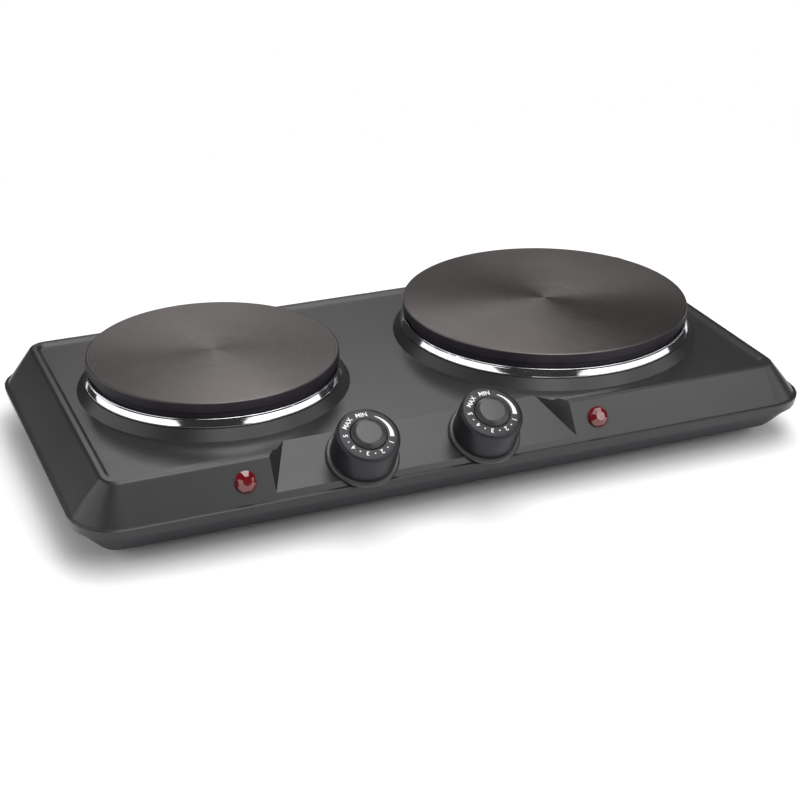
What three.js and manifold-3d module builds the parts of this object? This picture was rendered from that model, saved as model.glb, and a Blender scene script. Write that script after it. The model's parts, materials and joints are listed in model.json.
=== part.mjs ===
// Double electric hot plate: a pressed housing on a base tray carries a small and a large
// cast iron plate, each worked by a thermostat behind a sloping knob panel.
// Millimetres, +Z up, front towards -Y. Left and right are as seen from the front.
import * as THREE from 'three';
import { mergeVertices } from 'three/addons/utils/BufferGeometryUtils.js';
import Module from 'manifold-3d';

const wasm = await Module();
wasm.setup();

// ---------------------------------------------------------------- driving dimensions
const gap = 0.3;                 // clearance wherever two pieces meet
const sheet = 1.2;               // pressed steel of the housing
const slopeWall = 1.8;           // room its drawn-down sides take, square to the slope
const trayWall = 1.6;

const lip = { halfLength: 235, halfDepth: 119.2, corner: 28, centreY: 0 };
const rim = { halfLength: 215.8, halfDepth: 104.7, corner: 10.5, centreY: 1.7 };
const well = { halfLength: 209.4, halfDepth: 97.4, corner: 5, centreY: 2.5 };

const footHeight = 8;
const trayBottom = footHeight;
const skirtBottom = 23.5;
const lipTop = 29.5;
const ledgeWidth = 2.2;
const rimTop = 50.8;
const wellDepth = 1.7;
const wellSpread = 2.5;          // run of the sloping step down into the well
const panelTop = rimTop - wellDepth;
const panelUnderside = panelTop - sheet;
const edgeRound = 3;

const plateTop = rimTop + 20;
const plateEdge = 6.4;
const collarRise = 6;
const collarSpread = 4.6;
const ringHeight = 5.2;

const panelSlope = 29;           // degrees, knob panel down towards the front
const creaseY = -85.5;           // where the knob panel meets the flat top
const recess = { centreX: -26, creaseHalf: 80.5, footHalf: 95, fasciaFootY: -115.5 };
const knobSpread = 38.6;
const knobY = -103.4;
const lampSpread = 111;
const lampZ = 40.3;
const footX = 185;
const footY = 74;
const gland = { x: -6.5, z: 37.4, hole: 5.7, sleeve: 5.4, bore: 4, flange: 6.9 };
const screwOffset = 10.5;        // thermostat screws, each side of the knob's shaft
const screwHole = 1.9;
const lampHole = 5;

const round = 48;                // facets round the large circles
const small = 24;
const tiny = 12;

const plates = [
  { side: 'left', x: -119.6, y: 8, radius: 77.5, lugAngle: -129 },
  { side: 'right', x: 106.5, y: 8, radius: 93, lugAngle: -116 },
];
const knobs = [
  { side: 'left', x: recess.centreX - knobSpread },
  { side: 'right', x: recess.centreX + knobSpread },
];

// ---------------------------------------------------------------- solid helpers
const radians = THREE.MathUtils.degToRad;

function toSolid(geometry) {
  geometry.deleteAttribute('normal');
  geometry.deleteAttribute('uv');
  const merged = mergeVertices(geometry);
  return new wasm.Manifold(new wasm.Mesh({
    numProp: 3,
    vertProperties: new Float32Array(merged.attributes.position.array),
    triVerts: new Uint32Array(merged.index.array),
  }));
}

function toGeometry(solid) {
  const mesh = solid.getMesh();
  const geometry = new THREE.BufferGeometry();
  geometry.setAttribute('position', new THREE.BufferAttribute(mesh.vertProperties, 3));
  geometry.setIndex(new THREE.BufferAttribute(mesh.triVerts, 1));
  return geometry;
}

// Rings of [x, y, z] points, each convex and anticlockwise from above, joined bottom to top.
function loft(rings) {
  const count = rings[0].length;
  const faces = [];
  for (let ring = 0; ring < rings.length - 1; ring += 1) {
    for (let i = 0; i < count; i += 1) {
      const a = ring * count + i;
      const b = ring * count + ((i + 1) % count);
      faces.push(a, b, b + count, a, b + count, a + count);
    }
  }
  const last = (rings.length - 1) * count;
  for (let i = 1; i < count - 1; i += 1) {
    faces.push(0, i + 1, i, last, last + i, last + i + 1);
  }
  const geometry = new THREE.BufferGeometry();
  geometry.setAttribute('position', new THREE.Float32BufferAttribute(rings.flat(2), 3));
  geometry.setIndex(faces);
  return toSolid(geometry);
}

// A rounded rectangle at height z, drawn inwards from its outline by inset.
function outline({ halfLength, halfDepth, corner, centreY }, z, inset = 0) {
  const radius = Math.max(corner - inset, 4);
  const reachX = halfLength - inset - radius;
  const reachY = halfDepth - inset - radius;
  const steps = 6;
  const points = [];
  for (let quarter = 0; quarter < 4; quarter += 1) {
    const signX = quarter === 0 || quarter === 3 ? 1 : -1;
    const signY = quarter < 2 ? 1 : -1;
    for (let step = 0; step <= steps; step += 1) {
      const angle = (quarter + step / steps) * Math.PI / 2;
      const x = signX * reachX + radius * Math.cos(angle);
      const y = centreY + signY * reachY + radius * Math.sin(angle);
      points.push([x, y, z]);
    }
  }
  return points;
}

// Profile of [radius, z] points, anticlockwise, turned about the Z axis.
function turned(profile, facets = small) {
  const points = profile.map(([radius, z]) => new THREE.Vector2(radius, z));
  return toSolid(new THREE.LatheGeometry(points, facets).rotateX(Math.PI / 2));
}

// The same for a profile that closes on itself away from the axis.
const turnedRing = (profile, facets) => turned([...profile, profile[0]], facets);

const rod = (radius, low, high, facets = tiny) => (
  turned([[0, low], [radius, low], [radius, high], [0, high]], facets)
);

function block([x0, x1], [y0, y1], [z0, z1]) {
  const geometry = new THREE.BoxGeometry(x1 - x0, y1 - y0, z1 - z0);
  return toSolid(geometry.translate((x0 + x1) / 2, (y0 + y1) / 2, (z0 + z1) / 2));
}

function cable(points, radius, sides, steps) {
  const path = new THREE.CatmullRomCurve3(points.map((point) => new THREE.Vector3(...point)));
  const section = new THREE.Shape();
  section.absarc(0, 0, radius, 0, 2 * Math.PI);
  const options = { extrudePath: path, steps, curveSegments: sides / 2 };
  return toSolid(new THREE.ExtrudeGeometry(section, options));
}

const join = (first, ...others) => others.reduce((solid, other) => solid.add(other), first);
const cut = (first, ...others) => others.reduce((solid, other) => solid.subtract(other), first);

// ---------------------------------------------------------------- local frames
// A frame stands on a sloping face: local x runs along +X and local z out of the face.
const onSlope = (solid, degrees, x, y, z) => solid.rotate([degrees, 0, 0]).translate([x, y, z]);

const panelDrop = Math.tan(radians(panelSlope));
const panelZ = (y) => panelTop - (creaseY - y) * panelDrop;
const onKnobPanel = (solid, x) => onSlope(solid, panelSlope, x, knobY, panelZ(knobY));

const fasciaFoot = [-lip.halfDepth + ledgeWidth, lipTop];
const fasciaHead = [rim.centreY - rim.halfDepth, rimTop];
const fasciaRun = fasciaHead[0] - fasciaFoot[0];
const fasciaRise = fasciaHead[1] - fasciaFoot[1];
const fasciaSlope = THREE.MathUtils.radToDeg(Math.atan2(fasciaRise, fasciaRun));
const fasciaY = (z) => fasciaFoot[0] + (z - fasciaFoot[1]) * fasciaRun / fasciaRise;
const onFascia = (solid, x) => onSlope(solid, fasciaSlope, x, fasciaY(lampZ), lampZ);

const rearFoot = lip.halfDepth - ledgeWidth;
const rearRun = rearFoot - (rim.centreY + rim.halfDepth);
const rearWallY = (z) => rearFoot - (z - lipTop) * rearRun / (rimTop - lipTop);
const alongY = (solid, x, y, z) => solid.rotate([-90, 0, 0]).translate([x, y, z]);

// ---------------------------------------------------------------- materials
function finish(colour, roughness, metalness) {
  return new THREE.MeshStandardMaterial({ color: colour, roughness, metalness });
}

const materials = {
  greyPaint: finish('#6b6a6e', 0.38, 0.35),
  darkPaint: finish('#3c3a41', 0.5, 0.2),
  castIron: finish('#5f5a59', 0.55, 0.6),
  chrome: finish('#d4d5d8', 0.12, 1),
  knobPlastic: finish('#4a4850', 0.42, 0.1),
  knobTrim: finish('#8b8a8d', 0.35, 0.4),
  redLens: finish('#c8202c', 0.15, 0),
  rubber: finish('#1d1c1e', 0.85, 0),
  steel: finish('#9a9a9c', 0.35, 0.9),
  ceramic: finish('#e6e0d2', 0.6, 0),
  moulding: finish('#2b2a2d', 0.6, 0),
  heaterSheath: finish('#4d4238', 0.6, 0.7),
  brownWire: finish('#6a3b22', 0.6, 0),
  blueWire: finish('#2b4c8c', 0.6, 0),
  earthWire: finish('#6f9a2c', 0.6, 0),
};

const group = new THREE.Group();
group.name = 'double_hot_plate';

function addPiece(name, solid, material) {
  const mesh = new THREE.Mesh(toGeometry(solid), material);
  mesh.name = name;
  group.add(mesh);
}

// ---------------------------------------------------------------- housing
// The cut that leaves the sloping knob panel, or with grow the same cut one sheet further in.
function knobRecess(grow) {
  const frontY = -lip.halfDepth - 10;
  const backY = creaseY + grow;
  const flare = (recess.footHalf - recess.creaseHalf) / (creaseY - recess.fasciaFootY);
  const lower = grow / Math.cos(radians(panelSlope));
  const halfAt = (y) => recess.creaseHalf + grow + (creaseY - y) * flare;
  const floorZ = (y) => panelZ(y) - lower;
  const corner = (sign, y) => [recess.centreX + sign * halfAt(y), y, floorZ(y)];
  const floor = [corner(-1, frontY), corner(1, frontY), corner(1, backY), corner(-1, backY)];
  const lean = floor.map(([x, y, z]) => [x, y + 1.5 * fasciaRun, z + 1.5 * fasciaRise]);
  return loft([floor, lean]);
}

// The raised collar under a plate, or with inset its hollow inside.
function collar(plate, inset, low, high) {
  const topRadius = plate.radius + 1.9 - inset;
  const spread = (z) => topRadius + (panelTop + collarRise - z) * collarSpread / collarRise;
  const rearLimit = rim.centreY + rim.halfDepth - inset;
  const cone = turned([[0, low], [spread(low), low], [spread(high), high], [0, high]], round)
    .translate([plate.x, plate.y, 0]);
  return cone.intersect(block([-300, 300], [-300, rearLimit], [0, 100]));
}

const screwPost = { radius: 4, bore: 1.9, low: trayBottom + trayWall + gap, boreTop: 27 };
const footSpots = [
  { name: 'front_left', x: -footX, y: -footY },
  { name: 'front_right', x: footX, y: -footY },
  { name: 'rear_left', x: -footX, y: footY },
  { name: 'rear_right', x: footX, y: footY },
];

function housingOuter() {
  const rings = [
    outline(lip, skirtBottom, 1),
    outline(lip, lipTop - 0.6),
    outline(lip, lipTop, 0.6),
    outline(lip, lipTop + 0.2, ledgeWidth),
  ];
  const tangent = edgeRound * Math.tan(radians(fasciaSlope / 2));
  const steps = 3;
  for (let step = steps; step >= 0; step -= 1) {
    const angle = radians(fasciaSlope) * step / steps;
    const inset = tangent - edgeRound * Math.sin(angle);
    rings.push(outline(rim, rimTop - edgeRound * (1 - Math.cos(angle)), inset));
  }
  return loft(rings);
}

function housingInner() {
  return loft([
    outline(lip, skirtBottom - 5, 1 + sheet),
    outline(lip, lipTop - sheet, sheet),
    outline(lip, lipTop - sheet + 0.2, ledgeWidth + sheet),
    outline(rim, panelUnderside, 0),
  ]);
}

function topShell() {
  const wellCut = loft([
    outline(well, panelTop),
    outline(well, rimTop, -wellSpread),
    outline(well, rimTop + 1, -wellSpread),
  ]);
  const body = join(
    cut(housingOuter(), wellCut),
    ...plates.map((plate) => collar(plate, 0, panelUnderside, panelTop + collarRise)),
  );
  const hollow = join(
    cut(housingInner(), knobRecess(sheet)),
    ...plates.map((plate) => (
      collar(plate, 1.2 * sheet, panelUnderside - 1, panelTop + collarRise - sheet)
    )),
  );
  const posts = footSpots.map(({ x, y }) => (
    rod(screwPost.radius, screwPost.low, panelUnderside + sheet / 2).translate([x, y, 0])
  ));
  const holes = [
    ...plates.map(({ x, y, radius }) => (
      rod(radius - 1.7, panelUnderside, plateTop, round).translate([x, y, 0])
    )),
    ...knobs.map(({ x }) => onKnobPanel(rod(4.2, -6, 6), x)),
    ...knobs.flatMap(({ x }) => [-1, 1].map((sign) => (
      onKnobPanel(rod(screwHole, -6, 6).translate([sign * screwOffset, 0, 0]), x)
    ))),
    ...[-1, 1].map((sign) => (
      onFascia(rod(lampHole, -6, 6), recess.centreX + sign * lampSpread)
    )),
    ...footSpots.map(({ x, y }) => (
      rod(screwPost.bore, 0, screwPost.boreTop, tiny).translate([x, y, 0])
    )),
    alongY(rod(gland.hole, -12, 12, small), gland.x, rearWallY(gland.z), gland.z),
  ];
  return cut(join(cut(cut(body, knobRecess(0)), hollow), ...posts), ...holes);
}

// ---------------------------------------------------------------- cord gland
// The sleeve's groove follows the leaning rear wall, so the gland grips it on both sides.
function cordGland() {
  const wallY = rearWallY(gland.z);
  const body = cut(
    alongY(rod(gland.flange, -7.5, 5.8, small), gland.x, wallY, gland.z),
    alongY(rod(gland.bore, -20, 20, small), gland.x, wallY, gland.z),
  );
  const lean = THREE.MathUtils.radToDeg(Math.atan2(rearRun, rimTop - lipTop));
  const groove = block([-20, 20], [-slopeWall - gap, gap], [-20, 20])
    .rotate([lean, 0, 0])
    .translate([gland.x, wallY, gland.z]);
  const sleeve = alongY(rod(gland.sleeve, -20, 20, small), gland.x, wallY, gland.z);
  return cut(body, cut(groove, sleeve));
}

// ---------------------------------------------------------------- base tray and feet
const earthScrew = { x: gland.x, y: 54, hole: 2.3 };

function baseTray() {
  const seat = 1 + sheet + gap + 0.1;
  const taper = 15.3;
  const shoulder = skirtBottom - 0.7;
  const top = lipTop - sheet - 0.5;
  const outer = loft([
    outline(lip, trayBottom, taper + 1.7),
    outline(lip, trayBottom + 1.5, taper),
    outline(lip, shoulder, seat),
    outline(lip, top, seat),
  ]);
  const inner = loft([
    outline(lip, trayBottom + trayWall, taper + 1.7 + trayWall),
    outline(lip, trayBottom + 1.5 + trayWall, taper + trayWall),
    outline(lip, shoulder, seat + trayWall),
    outline(lip, top + 1, seat + trayWall),
  ]);
  const slotPitch = 14;
  const slots = plates.flatMap(({ x, y }) => [-1.5, -0.5, 0.5, 1.5].map((step) => block(
    [x - 35, x + 35],
    [y + step * slotPitch - 2.5, y + step * slotPitch + 2.5],
    [0, 20],
  )));
  const screwHoles = footSpots.map(({ x, y }) => rod(2.2, 0, 20).translate([x, y, 0]));
  const earthHole = rod(earthScrew.hole, 0, 20).translate([earthScrew.x, earthScrew.y, 0]);
  return cut(outer, inner, ...slots, ...screwHoles, earthHole);
}

function foot() {
  const top = footHeight - gap;
  return turnedRing([[4.3, 0], [8.2, 0], [9.3, top], [2.2, top], [2.2, 4.2], [4.3, 4.2]], 20);
}

function footScrew() {
  return turned([[0, 1.2], [3.6, 1.2], [3.6, 3.9], [1.6, 3.9], [1.6, 25], [0, 25]], tiny);
}

addPiece('top_shell', topShell(), materials.greyPaint);
addPiece('base_tray', baseTray(), materials.darkPaint);
for (const { name, x, y } of footSpots) {
  addPiece(`foot_${name}`, foot().translate([x, y, 0]), materials.rubber);
  addPiece(`foot_screw_${name}`, footScrew().translate([x, y, 0]), materials.steel);
}

// ---------------------------------------------------------------- hot plates
const plateUnder = plateTop - plateEdge;
const webUnder = plateTop - 8.3;
const skirtLow = panelTop + 4.7;
const hubLow = webUnder - 6.5;
const shieldLow = panelUnderside + 0.2;
const coilZ = webUnder - 4;
const legLow = 41;
const coilStart = 28;
const coilInset = 17.5;
const studRadius = 3;

// The casting is stepped in below its edge; a small lug there keeps it from turning.
function hotplate({ radius, lugAngle }) {
  const stepRadius = radius - 2.3;
  const casting = turned([
    [0, webUnder - 0.5], [studRadius + 0.4, webUnder - 0.5], [studRadius + 0.4, hubLow],
    [10, hubLow], [10, webUnder], [radius - 8, webUnder], [radius - 8, skirtLow],
    [stepRadius, skirtLow], [stepRadius, plateUnder], [radius - 0.6, plateUnder],
    [radius, plateUnder + 0.6], [radius, plateTop - 1.1], [radius - 1.1, plateTop],
    [25, plateTop], [24, plateTop - 0.4], [0, plateTop - 0.4],
  ], round);
  const lug = block([stepRadius - 1, radius - 0.8], [-2.5, 2.5], [plateUnder - 1.7, plateUnder + 1]);
  return join(casting, lug.rotate([0, 0, lugAngle]));
}

function dripRing({ radius }) {
  const inside = radius - 1.9;
  const low = panelTop + collarRise + gap;
  return turnedRing([
    [inside, low], [radius + 1.5, low], [radius + 1.7, low + 1.4], [radius + 1.1, low + 3.4],
    [radius - 0.2, low + ringHeight - 0.4], [radius - 1.1, low + ringHeight],
    [inside, low + ringHeight - 0.5],
  ], round);
}

function heatingCoil({ radius }) {
  const turns = 2;
  const steps = 16 * turns;
  const end = radius - coilInset;
  const leg = (y) => [[0, y, legLow], [0, y, legLow + 5], [0, y, legLow + 10.5]];
  const points = leg(coilStart);
  for (let step = 1; step < steps; step += 1) {
    const reach = coilStart + (end - coilStart) * step / steps;
    const angle = Math.PI / 2 + 2 * Math.PI * turns * step / steps;
    points.push([reach * Math.cos(angle), reach * Math.sin(angle), coilZ]);
  }
  points.push(...leg(end).reverse());
  return cable(points, 2.4, 6, 56);
}

function heatShield({ radius }) {
  const hole = studRadius + 0.6;
  const pan = turnedRing([
    [hole, shieldLow], [radius - 6, shieldLow], [radius - 3, shieldLow + 3],
    [radius - 3, skirtLow - gap], [radius - 4, skirtLow - gap], [radius - 4, shieldLow + 3.6],
    [radius - 6.6, shieldLow + 0.8], [hole, shieldLow + 0.8],
  ], small);
  const legHoles = [coilStart, radius - coilInset].map((y) => (
    rod(4, shieldLow - 1, shieldLow + 2).translate([0, y, 0])
  ));
  return cut(pan, ...legHoles);
}

function clampBar({ radius }) {
  const reach = radius + 10;
  const top = panelUnderside - gap;
  const bar = block([-reach, reach], [-8, 8], [top - 2, top]);
  return cut(bar, rod(studRadius + 0.4, top - 5, top + 5));
}

function plateTerminals({ radius }) {
  const top = shieldLow - gap;
  const body = block([-8, 8], [coilStart - 8, radius - coilInset + 8], [top - 9, top]);
  const sockets = [coilStart, radius - coilInset].map((y) => (
    rod(3.3, legLow - gap, top + 1).translate([0, y, 0])
  ));
  return cut(body, ...sockets);
}

for (const plate of plates) {
  const put = (name, solid, material) => (
    addPiece(`${plate.side}_${name}`, solid.translate([plate.x, plate.y, 0]), material)
  );
  put('hotplate', hotplate(plate), materials.castIron);
  put('drip_ring', dripRing(plate), materials.chrome);
  put('heating_coil', heatingCoil(plate), materials.heaterSheath);
  put('heat_shield', heatShield(plate), materials.steel);
  put('clamp_bar', clampBar(plate), materials.steel);
  put('plate_stud', rod(studRadius, 38, webUnder - 1), materials.steel);
  put('stud_nut', cut(rod(5.8, 40.5, 45.4, 6), rod(studRadius + gap, 38, 48)), materials.steel);
  put('plate_terminals', plateTerminals(plate), materials.ceramic);
}

// ---------------------------------------------------------------- thermostats and knobs
const shaftRadius = 3;
const shaftFlat = 2.2;
const knobHeight = 22.4;
const bezelTop = 2.9;
const boreTop = knobHeight - 6.5;
const capSeat = knobHeight - 2.9;
const capRadius = 10.5;

function thermostat() {
  const top = -sheet - gap;
  const body = block([-14, 14], [-10.5, 13], [top - 18, top]);
  const tabs = [-8, 8].map((x) => block([x - 3.1, x + 3.1], [4.6, 5.4], [top - 24, top - 17]));
  const shaftBore = rod(shaftRadius + gap, -13, 0);
  const screwBores = [-1, 1].map((sign) => (
    rod(screwHole, -10, 0).translate([sign * screwOffset, 0, 0])
  ));
  return cut(join(body, ...tabs), shaftBore, ...screwBores);
}

function thermostatScrew() {
  return turned([[0, -9], [1.6, -9], [1.6, gap], [3, gap], [3, 1.5], [0, 1.7]], tiny);
}

function knobShaft() {
  return cut(rod(shaftRadius, -12.5, boreTop - 0.6), block([shaftFlat, 5], [-5, 5], [5, 20]));
}

function knobBezel() {
  return turnedRing([
    [4.2, 2.1], [17.5, 2.1], [17.5, gap], [21.8, gap],
    [21.8, 2], [21, bezelTop], [4.2, bezelTop],
  ], small);
}

function knob() {
  const low = bezelTop + 0.4;
  const roof = knobHeight - 5;
  const body = turned([
    [0, boreTop], [shaftRadius + gap, boreTop], [shaftRadius + gap, low + 1],
    [6.2, low + 1], [6.2, roof], [16, roof], [17, low], [19.5, low],
    [18.9, knobHeight - 2.2], [18.1, knobHeight - 0.6], [16.6, knobHeight],
    [capRadius + 0.4, knobHeight], [capRadius + 0.4, capSeat], [0, capSeat],
  ], 36);
  const key = block([shaftFlat + gap, 4.5], [-3, 3], [6, boreTop + 0.5]);
  return join(body, key);
}

function knobCap() {
  const low = capSeat + gap;
  const high = knobHeight + 2.4;
  return turned([[0, low], [capRadius, low], [capRadius, high - 2], [7.8, high], [0, high]], 36);
}

for (const { side, x } of knobs) {
  const put = (name, solid, material) => addPiece(`${side}_${name}`, onKnobPanel(solid, x), material);
  put('thermostat', thermostat(), materials.moulding);
  put('thermostat_shaft', knobShaft(), materials.steel);
  put('thermostat_screw_left', thermostatScrew().translate([-screwOffset, 0, 0]), materials.steel);
  put('thermostat_screw_right', thermostatScrew().translate([screwOffset, 0, 0]), materials.steel);
  put('knob_bezel', knobBezel(), materials.knobTrim);
  put('knob', knob(), materials.knobPlastic);
  put('knob_cap', knobCap(), materials.knobTrim);
}

// ---------------------------------------------------------------- indicator lamps
// The lens is cut like a gem: eight facets rise from the round flange to a flat table.
function indicatorLens() {
  const plug = rod(4, -5, 1);
  const flange = rod(6.3, gap, 4.4, small);
  const gem = turned([[0, gap], [7.2, gap], [7.2, 1], [5.4, 3], [2.8, 4.4], [0, 4.4]], 8);
  return join(flange.intersect(gem.rotate([0, 0, 22.5])), plug);
}

function indicatorBody() {
  const lens = 4 + gap;
  const back = -slopeWall - gap;
  return turned([
    [0, -20], [4.8, -20], [4.8, back - 3], [6.4, back - 3], [6.4, back], [4.7, back],
    [4.7, -gap], [lens, -gap], [lens, -5 - gap], [0, -5 - gap],
  ], 20);
}

for (const [side, sign] of [['left', -1], ['right', 1]]) {
  const x = recess.centreX + sign * lampSpread;
  addPiece(`${side}_indicator_lens`, onFascia(indicatorLens(), x), materials.redLens);
  addPiece(`${side}_indicator_body`, onFascia(indicatorBody(), x), materials.moulding);
}

// ---------------------------------------------------------------- mains connection
const trayFloor = trayBottom + trayWall;
const mains = { halfLength: 20, halfDepth: 9, y: 84, low: trayFloor + gap, high: trayFloor + 15 };

function mainsTerminals() {
  const y = mains.y;
  const body = block(
    [gland.x - mains.halfLength, gland.x + mains.halfLength],
    [y - mains.halfDepth, y + mains.halfDepth],
    [mains.low, mains.high],
  );
  const screwWells = [-12, 0, 12].map((x) => (
    rod(3, mains.high - 5, mains.high + 1).translate([gland.x + x, y, 0])
  ));
  return cut(body, ...screwWells);
}

function earthFixing() {
  const low = trayFloor + gap;
  return turned([[0, 6], [2, 6], [2, low], [4, low], [4, low + 2.8], [0, low + 2.8]], tiny)
    .translate([earthScrew.x, earthScrew.y, 0]);
}

addPiece('cord_gland', cordGland(), materials.moulding);
addPiece('mains_terminals', mainsTerminals(), materials.ceramic);
addPiece('earth_screw', earthFixing(), materials.steel);

// ---------------------------------------------------------------- internal wiring
// Each wire ends short of its terminal, so that its square-cut end stays clear.
const wireGap = 1.5;
const wire = (points) => cable(points, 1.2, 6, 10);
const frontOfMains = mains.y - mains.halfDepth - wireGap;

plates.forEach((plate, index) => {
  const sign = index === 0 ? -1 : 1;
  const knobX = knobs[index].x;
  const blockFront = plate.y + coilStart - 8 - wireGap;
  const blockRear = plate.y + plate.radius - coilInset + 8 + wireGap;
  const mainsSide = gland.x + sign * (mains.halfLength + wireGap);
  addPiece(`${plate.side}_feed_wire`, wire([
    [gland.x + sign * 12, frontOfMains, 17],
    [gland.x + sign * 14, frontOfMains - 20, 13],
    [knobX - sign * 8, -30, 12.5],
    [knobX - sign * 8, -70, 14],
    [knobX - sign * 8, -84, 17],
  ]), materials.brownWire);
  addPiece(`${plate.side}_plate_wire`, wire([
    [knobX + sign * 8, -84, 17],
    [knobX + sign * 12, -66, 14],
    [plate.x - sign * 14, -20, 16],
    [plate.x - sign * 14, 10, 28],
    [plate.x - sign * 4, blockFront, 43],
  ]), materials.brownWire);
  addPiece(`${plate.side}_neutral_wire`, wire([
    [mainsSide, mains.y, 18],
    [mainsSide + sign * 14, mains.y + 3, 17],
    [plate.x - sign * 22, blockRear + 6, 24],
    [plate.x - sign * 6, blockRear + 8, 38],
    [plate.x, blockRear, 43.5],
  ]), materials.blueWire);
});
addPiece('earth_wire', wire([
  [gland.x, frontOfMains, 17],
  [gland.x, frontOfMains - 5, 14],
  [gland.x, earthScrew.y + 4 + wireGap, 12],
]), materials.earthWire);

// ---------------------------------------------------------------- origin
// The origin is under the middle of the whole object, knobs included.
const bounds = new THREE.Box3().setFromObject(group);
const middle = bounds.getCenter(new THREE.Vector3());
for (const mesh of group.children) {
  mesh.geometry.translate(-middle.x, -middle.y, -bounds.min.z);
}

export default group;
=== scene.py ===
"""Looks for the double electric hot plate: fine meshes, materials, light and camera.

Metres throughout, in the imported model's frame. Places come from the frame's boxes and
joints; the sizes that a box can't give are the named values below.
"""

import json
import math

import bmesh
import bpy
from mathutils import Matrix, Vector


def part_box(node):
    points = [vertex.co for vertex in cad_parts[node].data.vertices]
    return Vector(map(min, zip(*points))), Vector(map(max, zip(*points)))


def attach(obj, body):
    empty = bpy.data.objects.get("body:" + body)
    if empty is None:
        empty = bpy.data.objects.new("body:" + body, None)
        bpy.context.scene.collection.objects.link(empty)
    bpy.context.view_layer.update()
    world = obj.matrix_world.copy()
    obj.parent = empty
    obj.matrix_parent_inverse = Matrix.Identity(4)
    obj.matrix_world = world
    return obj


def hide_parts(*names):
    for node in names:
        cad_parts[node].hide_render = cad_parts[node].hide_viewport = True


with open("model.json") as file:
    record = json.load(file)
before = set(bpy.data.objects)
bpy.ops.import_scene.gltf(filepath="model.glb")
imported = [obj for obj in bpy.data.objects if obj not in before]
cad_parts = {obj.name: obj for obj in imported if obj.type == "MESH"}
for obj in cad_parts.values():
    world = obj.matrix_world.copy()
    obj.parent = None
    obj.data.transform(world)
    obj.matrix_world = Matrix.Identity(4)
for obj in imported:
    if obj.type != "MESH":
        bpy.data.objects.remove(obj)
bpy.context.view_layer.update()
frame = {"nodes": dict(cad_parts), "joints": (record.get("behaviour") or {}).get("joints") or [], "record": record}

MM = 0.001
SIDES = ("left", "right")
HOUSING = "housing"
SLOT_OF = {part["node"]: part["material_slot"] for part in frame["record"]["subparts"]}


def centre_of(node):
    low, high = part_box(node)
    return (low + high) / 2


def direction(azimuth, elevation):
    """The way to a place azimuth degrees round from the front, towards +X, and elevation up."""
    azimuth, elevation = math.radians(azimuth), math.radians(elevation)
    return Vector((
        math.sin(azimuth) * math.cos(elevation),
        -math.cos(azimuth) * math.cos(elevation),
        math.sin(elevation),
    ))


# ---------------------------------------------------------------- camera
# Where the photograph was taken from, round the point the lens looks at.
AIM_FROM_MIDDLE = Vector((-6.8, -19.2, 0)) * MM
AIM_HEIGHT = 28.1 * MM
AZIMUTH = -22.14
ELEVATION = 25.35
DISTANCE = 1.1
LENS = 78.3                     # millimetres, as lenses are sold
SENSOR = 36


def make_camera():
    aim = centre_of("top_shell") + AIM_FROM_MIDDLE
    aim.z = AIM_HEIGHT
    back = direction(AZIMUTH, ELEVATION)
    data = bpy.data.cameras.new("camera")
    data.lens = LENS
    data.sensor_width = SENSOR
    camera = bpy.data.objects.new("camera", data)
    camera.location = aim + back * DISTANCE
    camera.rotation_euler = (-back).to_track_quat("-Z", "Y").to_euler()
    bpy.context.scene.collection.objects.link(camera)
    bpy.context.scene.camera = camera


# ---------------------------------------------------------------- material helpers
WAVE_RATE = 20                  # radians that a wave texture of scale 1 runs through in a metre
TINT_FROM = 0.3                 # a noise up to this gives the dark tint
TINT_TO = 0.7                   # and from this on the light one


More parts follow.
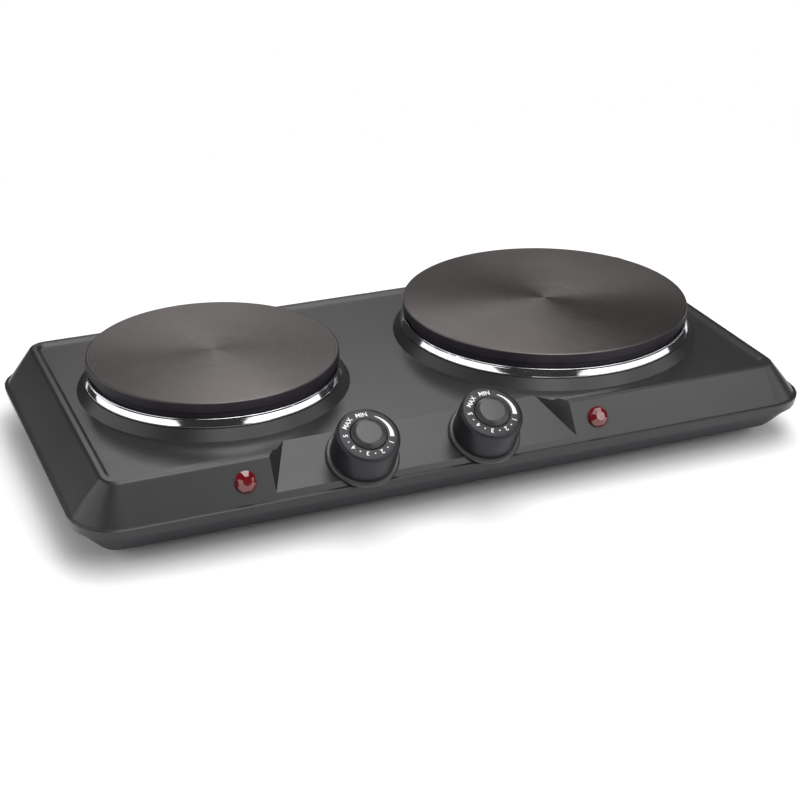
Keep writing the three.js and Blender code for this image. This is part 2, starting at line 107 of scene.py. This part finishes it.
class Finish:
    """One Principled material, with short calls for the nodes the finishes share."""

    def __init__(self, name, colour, roughness, metallic=0.0, **sockets):
        self.material = bpy.data.materials.new(name)
        self.material.use_nodes = True
        self.tree = self.material.node_tree
        self.shader = self.tree.nodes["Principled BSDF"]
        self.colour = colour
        self.shader.inputs["Base Color"].default_value = (*colour, 1)
        self.shader.inputs["Roughness"].default_value = roughness
        self.shader.inputs["Metallic"].default_value = metallic
        for socket, value in sockets.items():
            self.shader.inputs[socket.replace("_", " ")].default_value = value

    def node(self, kind, **settings):
        made = self.tree.nodes.new(kind)
        for name, value in settings.items():
            setattr(made, name, value)
        return made

    def link(self, source, target):
        self.tree.links.new(source, target)

    def coordinates(self):
        return self.node("ShaderNodeTexCoord").outputs["Object"]

    def noise(self, scale, detail=3.0):
        """Noise on the object's own coordinates, with scale lumps to the metre."""
        made = self.node("ShaderNodeTexNoise")
        made.inputs["Scale"].default_value = scale
        made.inputs["Detail"].default_value = detail
        self.link(self.coordinates(), made.inputs["Vector"])
        return made.outputs["Fac"]

    def rings(self, pitch):
        """Concentric rings round the object's own Z axis, one every pitch."""
        made = self.node("ShaderNodeTexWave", wave_type="RINGS", rings_direction="Z")
        made.inputs["Scale"].default_value = 2 * math.pi / (WAVE_RATE * pitch)
        self.link(self.coordinates(), made.inputs["Vector"])
        return made.outputs["Fac"]

    def tint(self, factor, dark, light):
        """The colour runs from dark to light times the base colour, as factor goes 0 to 1."""
        ramp = self.node("ShaderNodeValToRGB")
        for element, share in zip(ramp.color_ramp.elements, (dark, light)):
            element.color = (*(min(1, channel * share) for channel in self.colour), 1)
        ramp.color_ramp.elements[0].position = TINT_FROM
        ramp.color_ramp.elements[1].position = TINT_TO
        self.link(factor, ramp.inputs["Fac"])
        self.link(ramp.outputs["Color"], self.shader.inputs["Base Color"])

    def vary_roughness(self, factor, low, high):
        span = self.node("ShaderNodeMapRange")
        span.inputs["To Min"].default_value = low
        span.inputs["To Max"].default_value = high
        self.link(factor, span.inputs["Value"])
        self.link(span.outputs["Result"], self.shader.inputs["Roughness"])

    def bump(self, *heights):
        """Stacks (height, strength, depth) bumps on the surface."""
        normal = None
        for height, strength, depth in heights:
            made = self.node("ShaderNodeBump")
            made.inputs["Strength"].default_value = strength
            made.inputs["Distance"].default_value = depth
            self.link(height, made.inputs["Height"])
            if normal is not None:
                self.link(normal, made.inputs["Normal"])
            normal = made.outputs["Normal"]
        self.link(normal, self.shader.inputs["Normal"])


# ---------------------------------------------------------------- finishes
def housing_paint():
    """Satin metallic grey paint with a faint orange peel and fine flake."""
    finish = Finish("housing_paint", (0.020, 0.020, 0.021), 0.30, Specular_IOR_Level=0.45)
    finish.tint(finish.noise(9), 0.85, 1.15)
    finish.vary_roughness(finish.noise(60, 5), 0.27, 0.34)
    finish.bump((finish.noise(420, 2), 0.10, 0.0003), (finish.noise(2600, 1), 0.06, 0.0001))
    return finish.material


def tray_paint():
    """Darker paint on the base, a little rougher than the housing."""
    finish = Finish("tray_paint", (0.013, 0.011, 0.016), 0.45, Specular_IOR_Level=0.3)
    finish.tint(finish.noise(14), 0.9, 1.12)
    finish.vary_roughness(finish.noise(90, 5), 0.38, 0.52)
    finish.bump((finish.noise(500, 2), 0.12, 0.0003))
    return finish.material


def turned_iron():
    """Cast iron faced on a lathe: fine concentric grooves with a brownish cast."""
    finish = Finish("turned_iron", (0.103, 0.092, 0.089), 0.34, 0.8, Anisotropic=0.65)
    tangent = finish.node("ShaderNodeTangent", direction_type="RADIAL", axis="Z")
    finish.link(tangent.outputs["Tangent"], finish.shader.inputs["Tangent"])
    finish.shader.inputs["Anisotropic Rotation"].default_value = 0.25
    finish.tint(finish.noise(22, 4), 0.9, 1.08)
    finish.vary_roughness(finish.noise(150, 5), 0.30, 0.42)
    finish.bump(
        (finish.rings(1.3 * MM), 0.8, 0.00010),
        (finish.rings(0.5 * MM), 0.3, 0.00006),
        (finish.noise(1800, 2), 0.05, 0.0001),
    )
    return finish.material


def cast_iron():
    """The casting's rim and underside: left as cast, under a dark purplish coating."""
    finish = Finish("cast_iron", (0.020, 0.017, 0.023), 0.5, Specular_IOR_Level=0.25)
    finish.tint(finish.noise(60, 4), 0.8, 1.3)
    finish.vary_roughness(finish.noise(300, 4), 0.42, 0.6)
    finish.bump((finish.noise(900, 3), 0.25, 0.0002))
    return finish.material


def bright_chrome():
    finish = Finish("bright_chrome", (0.83, 0.84, 0.86), 0.08, 1.0)
    finish.vary_roughness(finish.noise(120, 4), 0.05, 0.13)
    finish.tint(finish.noise(30), 0.96, 1.02)
    finish.bump((finish.noise(60, 2), 0.05, 0.0002))
    return finish.material


def knob_plastic():
    finish = Finish("knob_plastic", (0.012, 0.011, 0.015), 0.34, Specular_IOR_Level=0.35)
    finish.tint(finish.noise(180, 4), 0.92, 1.1)
    finish.vary_roughness(finish.noise(700, 3), 0.34, 0.44)
    finish.bump((finish.noise(2400, 2), 0.12, 0.0001))
    return finish.material


def knob_trim():
    """Silver grey lacquer over plastic, spun fine."""
    finish = Finish("knob_trim", (0.030, 0.030, 0.031), 0.26)
    finish.tint(finish.noise(240, 4), 0.94, 1.06)
    finish.vary_roughness(finish.noise(500, 3), 0.26, 0.38)
    finish.bump((finish.noise(1500, 2), 0.08, 0.0001))
    return finish.material


def dial_print():
    finish = Finish("dial_print", (0.78, 0.78, 0.76), 0.5)
    finish.tint(finish.noise(900, 3), 0.9, 1.0)
    finish.bump((finish.noise(2500, 2), 0.1, 0.00005))
    return finish.material


def red_lens():
    finish = Finish(
        "red_lens", (0.16, 0.003, 0.008), 0.08,
        Transmission_Weight=0.3, IOR=1.5, Coat_Weight=1.0, Coat_Roughness=0.03,
    )
    finish.tint(finish.noise(500, 2), 0.85, 1.15)
    finish.bump((finish.noise(400, 1), 0.06, 0.0002))
    return finish.material


def speckled(name, colour, roughness, metallic, grain):
    """Plain workshop surface: a mottled colour with a fine grain."""
    finish = Finish(name, colour, roughness, metallic)
    finish.tint(finish.noise(grain / 4, 4), 0.82, 1.15)
    finish.vary_roughness(finish.noise(grain, 3), roughness * 0.85, min(1, roughness * 1.2))
    finish.bump((finish.noise(grain * 3, 2), 0.15, 0.0001))
    return finish.material


FINISHES = {
    "housing_paint": housing_paint(),
    "tray_paint": tray_paint(),
    "plate_iron": turned_iron(),
    "ring_chrome": bright_chrome(),
    "knob_plastic": knob_plastic(),
    "knob_trim": knob_trim(),
    "red_lens": red_lens(),
}
WORKSHOP_FINISHES = {           # colour, roughness, metallic, grains to the metre
    "foot_rubber": ((0.016, 0.016, 0.017), 0.8, 0.0, 600),
    "plated_steel": ((0.45, 0.45, 0.44), 0.32, 0.95, 300),
    "terminal_ceramic": ((0.74, 0.70, 0.60), 0.6, 0.0, 600),
    "dark_moulding": ((0.022, 0.022, 0.024), 0.5, 0.0, 600),
    "heater_sheath": ((0.12, 0.09, 0.07), 0.5, 0.7, 600),
    "brown_insulation": ((0.15, 0.055, 0.025), 0.5, 0.0, 600),
    "blue_insulation": ((0.03, 0.08, 0.30), 0.5, 0.0, 600),
    "earth_insulation": ((0.16, 0.36, 0.04), 0.5, 0.0, 600),
}
for slot, look in WORKSHOP_FINISHES.items():
    FINISHES[slot] = speckled(slot, *look)
CAST_IRON = cast_iron()
DIAL_INK = dial_print()


# ---------------------------------------------------------------- mesh helpers
def add_piece(mesh, body, material):
    """Links a finished mesh as a piece of the object, under the mesh's own name."""
    mesh.materials.append(material)
    piece = bpy.data.objects.new(mesh.name, mesh)
    bpy.context.scene.collection.objects.link(piece)
    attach(piece, body)
    return piece


def stand_in(mesh, body, node):
    """Links a mesh as the piece that is seen in place of this CAD node."""
    slot = SLOT_OF[node]
    piece = add_piece(mesh, body, FINISHES[slot])
    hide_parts(node)
    return piece


def smooth_mesh(name, points, faces, sharp_angle):
    mesh = bpy.data.meshes.new(name)
    mesh.from_pydata([tuple(point) for point in points], [], faces)
    mesh.shade_smooth()
    mesh.set_sharp_from_angle(angle=math.radians(sharp_angle))
    return mesh


FILLET_STEPS = 4
WELD = 0.001 * MM               # points closer than this are one point


def filleted(profile):
    """Rounds each (radius, z, fillet) corner of a closed profile with a curve."""
    rounded = []
    for index, (x, z, fillet) in enumerate(profile):
        corner = Vector((x, z))
        if fillet == 0:
            rounded.append(corner)
            continue
        before = Vector(profile[index - 1][:2]) - corner
        after = Vector(profile[(index + 1) % len(profile)][:2]) - corner
        start = corner + before.normalized() * fillet
        end = corner + after.normalized() * fillet
        for step in range(FILLET_STEPS + 1):
            share = step / FILLET_STEPS
            near = start.lerp(corner, share)
            far = corner.lerp(end, share)
            rounded.append(near.lerp(far, share))
    return rounded


def turned(name, profile, segments, sharp_angle=40):
    """Turns a closed profile of (radius, z, fillet) about Z; radius 0 lies on the axis."""
    section = filleted(profile)
    points, rings = [], []
    for radius, z in section:
        if radius < WELD:
            rings.append([len(points)])
            points.append((0, 0, z))
            continue
        rings.append(list(range(len(points), len(points) + segments)))
        for step in range(segments):
            angle = 2 * math.pi * step / segments
            points.append((radius * math.cos(angle), radius * math.sin(angle), z))
    faces = []
    for lower, upper in zip(rings, rings[1:] + rings[:1]):
        if len(lower) == 1 and len(upper) == 1:
            continue
        for step in range(segments):
            following = (step + 1) % segments
            face = []
            for ring, order in ((lower, (step, following)), (upper, (following, step))):
                face.extend(ring if len(ring) == 1 else [ring[order[0]], ring[order[1]]])
            faces.append(face)
    return smooth_mesh(name, points, faces, sharp_angle)


# ---------------------------------------------------------------- housing and tray
FLAT = 0.5                      # degrees between faces that still count as one face
SMOOTH = 35                     # degrees that shading runs across without a crease


def dressed(node, width, least_bend):
    """The CAD node's own shape, smooth, rounded where it bends more than least_bend degrees."""
    shape = bmesh.new()
    shape.from_mesh(frame["nodes"][node].data)
    bmesh.ops.remove_doubles(shape, verts=shape.verts, dist=WELD)
    bmesh.ops.dissolve_limit(
        shape, angle_limit=math.radians(FLAT), verts=shape.verts, edges=shape.edges
    )
    shape.verts.index_update()
    points = [vertex.co.copy() for vertex in shape.verts]
    faces = [[vertex.index for vertex in face.verts] for face in shape.faces]
    shape.free()
    piece = stand_in(smooth_mesh(node + "_skin", points, faces, SMOOTH), HOUSING, node)
    bevel = piece.modifiers.new("rounded_edges", "BEVEL")
    bevel.width = width
    bevel.segments = 3
    bevel.limit_method = "ANGLE"
    bevel.angle_limit = math.radians(least_bend)
    normals = piece.modifiers.new("even_shading", "WEIGHTED_NORMAL")
    normals.keep_sharp = True


dressed("top_shell", 1.0 * MM, 24)
dressed("base_tray", 0.5 * MM, 30)

# ---------------------------------------------------------------- plates and rings
PLATE_EDGE = 6.4 * MM           # height of the plate's rim
PLATE_STEP = 2.3 * MM           # from the rim in to the outside of the wall under it
PLATE_SKIRT = 8.0 * MM          # from the rim in to that wall's inside
PLATE_WEB = 1.8 * MM            # from the rim's underside down to the web's
DISH_RADIUS = 25 * MM           # the shallow dish turned in the plate's middle
DISH_DEPTH = 0.12 * MM
DISH_SLOPE = 1.2 * MM
FACED_DEPTH = 0.6 * MM          # how far down the rim the lathe has cut
FACED_SLOPE = 0.5               # least upward part of the normal where it has
RING_WIDTH = 3.6 * MM
PLATE_SEGMENTS = 180


def plate_piece(side):
    node = f"{side}_hotplate"
    low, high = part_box(node)
    radius, top = (high.x - low.x) / 2, high.z
    under = top - PLATE_EDGE
    wall, inside = radius - PLATE_STEP, radius - PLATE_SKIRT
    profile = [
        (0, under - PLATE_WEB, 0),
        (inside, under - PLATE_WEB, 0),
        (inside, low.z, 0.5 * MM),
        (wall, low.z, 0.5 * MM),
        (wall, under, 0.5 * MM),
        (radius, under, 0.7 * MM),
        (radius, top, 1.1 * MM),
        (DISH_RADIUS, top, 0.5 * MM),
        (DISH_RADIUS - DISH_SLOPE, top - DISH_DEPTH, 0.5 * MM),
        (0, top - DISH_DEPTH, 0),
    ]
    mesh = turned(node + "_skin", profile, PLATE_SEGMENTS)
    piece = stand_in(mesh, HOUSING, node)
    piece.location = centre_of(node) * Vector((1, 1, 0))
    mesh.materials.append(CAST_IRON)
    for face in mesh.polygons:
        faced = face.normal.z > FACED_SLOPE and face.center.z > top - FACED_DEPTH
        face.material_index = 0 if faced else 1


def ring_piece(side):
    node = f"{side}_drip_ring"
    low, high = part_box(node)
    outer = (high.x - low.x) / 2
    inner = outer - RING_WIDTH
    neck = outer - 1.9 * MM
    crown = high.z - 0.9 * MM
    profile = [
        (inner, low.z, 0.3 * MM),
        (outer - 0.2 * MM, low.z, 0.2 * MM),
        (outer, low.z + 0.8 * MM, 0.5 * MM),
        (neck, crown - 0.4 * MM, 0.2 * MM),
        (neck - 0.1 * MM, crown, 0.2 * MM),
        (neck - 0.3 * MM, high.z, 0.4 * MM),
        (inner + 0.4 * MM, high.z, 0.4 * MM),
        (inner, crown, 0.3 * MM),
    ]
    piece = stand_in(turned(node + "_skin", profile, PLATE_SEGMENTS, 60), HOUSING, node)
    piece.location = centre_of(node) * Vector((1, 1, 0))


for side in SIDES:
    plate_piece(side)
    ring_piece(side)

# ---------------------------------------------------------------- knobs
KNOB_HEIGHT = 22.4 * MM
KNOB_FOOT = 19.5 * MM           # outer radius at the foot
KNOB_CROWN = 18.7 * MM          # outer radius at the top, before rounding
KNOB_HOLLOW = 17.0 * MM         # inner radius at the foot
KNOB_ROOF = 5 * MM              # thickness of the top
CAP_RADIUS = 10.5 * MM
CAP_TABLE = 7.8 * MM            # radius of the cap's flat top
CAP_RISE = 2.4 * MM             # from the dial up to that top
CAP_SEAT = 2.9 * MM             # depth of the cap's seat below the dial
BEZEL_RADIUS = 21.8 * MM
BEZEL_TOP = 2.9 * MM
BEZEL_HOLLOW = 2.1 * MM         # height of the hollow under the bezel
CLEARANCE = 0.4 * MM
KNOB_SEGMENTS = 96
DIAL_MIDDLE = 13.5 * MM
LETTER = 4.0 * MM
LETTER_SPREAD = 0.07 * MM       # how much bolder the letters are than the font
INK = 0.03 * MM                 # half the thickness of the print
NUMBERS = 5
FIRST_NUMBER = 126              # degrees clockwise from MIN
NUMBER_STEP = 37.5
WEDGE_TURNS = (33, 108)
WEDGE_WIDTHS = (0.5 * MM, 2.6 * MM)
DOT_RADIUS = 0.45 * MM


def knob_frame(side):
    """The knob's own axes: X along the panel, Y up its slope and Z out of it."""
    joint = next(j for j in frame["joints"] if j["name"] == f"{side}_knob_turn")
    out = Vector(joint["axis"]).normalized()
    across = Vector((1, 0, 0))
    place = Matrix((across, out.cross(across), out)).transposed().to_4x4()
    place.translation = Vector(joint["pos_m"])
    return place


def on_panel(node, place, body, profile):
    """Turns a profile about the knob's axis, to stand in for this node."""
    mesh = turned(node + "_skin", profile, KNOB_SEGMENTS)
    mesh.transform(place)
    stand_in(mesh, body, node)


def knob_profile():
    """A cup with a thick roof, which has the cap's seat sunk in it."""
    foot = BEZEL_TOP + CLEARANCE
    roof = KNOB_HEIGHT - KNOB_ROOF
    seat = KNOB_HEIGHT - CAP_SEAT
    return [
        (0, roof, 0),
        (KNOB_HOLLOW - 1.0 * MM, roof, 0.5 * MM),
        (KNOB_HOLLOW, foot, 0.3 * MM),
        (KNOB_FOOT, foot, 0.4 * MM),
        (KNOB_CROWN, KNOB_HEIGHT, 2.7 * MM),
        (CAP_RADIUS + CLEARANCE, KNOB_HEIGHT, 0.3 * MM),
        (CAP_RADIUS + CLEARANCE, seat, 0.2 * MM),
        (0, seat, 0),
    ]


def cap_profile():
    """A disc with a broad chamfer round its flat top."""
    low = KNOB_HEIGHT - CAP_SEAT + 0.3 * MM
    high = KNOB_HEIGHT + CAP_RISE
    return [
        (0, low, 0),
        (CAP_RADIUS, low, 0.3 * MM),
        (CAP_RADIUS, high - 2.0 * MM, 0.5 * MM),
        (CAP_TABLE, high, 0.9 * MM),
        (0, high, 0),
    ]


def bezel_profile():
    """The ring round the knob's foot, with a hollow under it and the shaft's hole in it."""
    shaft_hole = 4.2 * MM
    wall = 17.5 * MM
    underside = 0.05 * MM
    return [
        (shaft_hole, BEZEL_HOLLOW, 0),
        (wall, BEZEL_HOLLOW, 0),
        (wall, underside, 0.2 * MM),
        (BEZEL_RADIUS, underside, 0.3 * MM),
        (BEZEL_RADIUS, BEZEL_TOP - 0.9 * MM, 0.4 * MM),
        (BEZEL_RADIUS - 0.8 * MM, BEZEL_TOP, 0.4 * MM),
        (shaft_hole, BEZEL_TOP, 0),
    ]


def dial_place(turn, radius):
    """A place on the dial, turn degrees clockwise from the top, with its top outwards."""
    spin = Matrix.Rotation(-math.radians(turn), 4, "Z")
    return spin @ Matrix.Translation((0, radius, KNOB_HEIGHT + INK))


def lettering(text, turn):
    """One printed word or number as a thin raised mesh on the dial."""
    data = bpy.data.curves.new("lettering", "FONT")
    data.body = text
    data.size = LETTER
    data.extrude = INK
    data.offset = LETTER_SPREAD
    data.align_x, data.align_y = "CENTER", "CENTER"
    writer = bpy.data.objects.new("lettering", data)
    bpy.context.scene.collection.objects.link(writer)
    bpy.context.view_layer.update()
    mesh = bpy.data.meshes.new_from_object(writer)
    bpy.data.objects.remove(writer)
    mesh.transform(dial_place(turn, DIAL_MIDDLE))
    return mesh


def raised(outline):
    """A thin closed mark from its outline on the dial, which runs anticlockwise."""
    count = len(outline)
    points = [tuple(spot + Vector((0, 0, rise))) for rise in (INK, -INK) for spot in outline]
    faces = [tuple(range(count)), tuple(reversed(range(count, 2 * count)))]
    for step in range(count):
        following = (step + 1) % count
        faces.append((step, step + count, following + count, following))
    mesh = bpy.data.meshes.new("mark")
    mesh.from_pydata(points, [], faces)
    return mesh


def wedge():
    """The curved power wedge, which thickens clockwise."""
    steps = 20
    outer, inner = [], []
    for step in range(steps + 1):
        share = step / steps
        turn = WEDGE_TURNS[0] + (WEDGE_TURNS[1] - WEDGE_TURNS[0]) * share
        half = (WEDGE_WIDTHS[0] + (WEDGE_WIDTHS[1] - WEDGE_WIDTHS[0]) * share) / 2
        outer.append(dial_place(turn, DIAL_MIDDLE + half).translation)
        inner.append(dial_place(turn, DIAL_MIDDLE - half).translation)
    return raised(outer[::-1] + inner)


def dot(turn):
    """A small round mark between two numbers."""
    place = dial_place(turn, DIAL_MIDDLE)
    sides = 12
    outline = []
    for step in range(sides):
        angle = 2 * math.pi * step / sides
        outline.append(place @ (Vector((math.cos(angle), math.sin(angle), 0)) * DOT_RADIUS))
    return raised(outline)


def dial_marks(side, place):
    """All the print on one dial: numbers from MIN round to MAX, and dots between them."""
    turns = [FIRST_NUMBER + NUMBER_STEP * step for step in range(NUMBERS + 1)]
    marks = [lettering("MIN", 0), lettering("MAX", turns[-1]), wedge()]
    marks.extend(lettering(str(step + 1), turn) for step, turn in enumerate(turns[:-1]))
    marks.extend(dot(turn + NUMBER_STEP / 2) for turn in turns[:-2])
    gathered = bmesh.new()
    for mesh in marks:
        gathered.from_mesh(mesh)
        bpy.data.meshes.remove(mesh)
    print_mesh = bpy.data.meshes.new(f"{side}_dial_marks")
    gathered.to_mesh(print_mesh)
    gathered.free()
    print_mesh.transform(place)
    add_piece(print_mesh, f"{side}_control", DIAL_INK)


for side in SIDES:
    place = knob_frame(side)
    control = f"{side}_control"
    on_panel(f"{side}_knob", place, control, knob_profile())
    on_panel(f"{side}_knob_cap", place, control, cap_profile())
    dial_marks(side, place)
    on_panel(f"{side}_knob_bezel", place, HOUSING, bezel_profile())

# ---------------------------------------------------------------- everything kept as CAD
for name, node in frame["nodes"].items():
    if not node.hide_render:
        node.data.materials.clear()
        node.data.materials.append(FINISHES[SLOT_OF[name]])


# ---------------------------------------------------------------- floor, light and camera
FLOOR_REACH = 0.6


def make_floor():
    corners = [(-1, -1, 0), (1, -1, 0), (1, 1, 0), (-1, 1, 0)]
    mesh = bpy.data.meshes.new("floor")
    mesh.from_pydata([Vector(corner) * FLOOR_REACH for corner in corners], [], [(0, 1, 2, 3)])
    paper = Finish("floor_paper", (0.86, 0.86, 0.86), 0.9)
    paper.tint(paper.noise(4), 0.99, 1.01)
    mesh.materials.append(paper.material)
    floor = bpy.data.objects.new("floor", mesh)
    bpy.context.scene.collection.objects.link(floor)


ROOM = 0.03                     # the dim room, against white paper
FLOOR_FILL = 0.28               # what it adds on matt surfaces, which keeps the floor white
LIT_POINT = Vector((0, 0, 40)) * MM
SOFTBOXES = {                   # azimuth, elevation, distance, width and height, radiance
    "top": (95, 77, 1.7, (1.3, 1.1), 2.3),
    "top_left": (135, 88, 1.7, (1.1, 1.1), 1.8),
    "front_high": (0, 62, 1.7, (0.9, 0.7), 3.2),
    "front": (-18, 50, 1.7, (0.9, 0.5), 1.8),
    "front_right": (30, 40, 1.7, (0.8, 0.6), 1.9),
    "left": (-95, 23, 1.7, (2.8, 0.95), 1.35),
    "right": (48, 25, 1.7, (2.5, 0.95), 1.35),
    "back": (165, 42, 2.2, (0.9, 1.1), 2.7),
}


def softbox(name, azimuth, elevation, distance, size, radiance):
    """A lamp that shows as an even white rectangle of this radiance in a mirror."""
    data = bpy.data.lights.new(name, "AREA")
    data.shape = "RECTANGLE"
    data.size, data.size_y = size
    data.energy = radiance * math.pi * data.size * data.size_y
    light = bpy.data.objects.new(name, data)
    light.visible_camera = False
    light.location = direction(azimuth, elevation) * distance
    inwards = LIT_POINT - light.location
    light.rotation_euler = inwards.to_track_quat("-Z", "Y").to_euler()
    bpy.context.scene.collection.objects.link(light)


def make_room():
    """Dim in reflections, brighter on matt surfaces, and white to the camera."""
    world = bpy.data.worlds.new("studio")
    world.use_nodes = True
    tree = world.node_tree
    background = tree.nodes["Background"]
    ray = tree.nodes.new("ShaderNodeLightPath")
    fill = tree.nodes.new("ShaderNodeMath")
    fill.operation = "MULTIPLY_ADD"
    fill.inputs[1].default_value = FLOOR_FILL
    fill.inputs[2].default_value = ROOM
    paper = tree.nodes.new("ShaderNodeMath")
    paper.operation = "MAXIMUM"
    tree.links.new(ray.outputs["Is Diffuse Ray"], fill.inputs[0])
    tree.links.new(fill.outputs["Value"], paper.inputs[0])
    tree.links.new(ray.outputs["Is Camera Ray"], paper.inputs[1])
    tree.links.new(paper.outputs["Value"], background.inputs["Strength"])
    background.inputs["Color"].default_value = (1, 1, 1, 1)
    bpy.context.scene.world = world


def make_light():
    """Boxes overhead, at both sides and behind, in a dim room; dark behind the camera."""
    make_room()
    for name, settings in SOFTBOXES.items():
        softbox(name, *settings)
    bpy.context.scene.view_settings.view_transform = "Standard"


make_floor()
make_light()
make_camera()
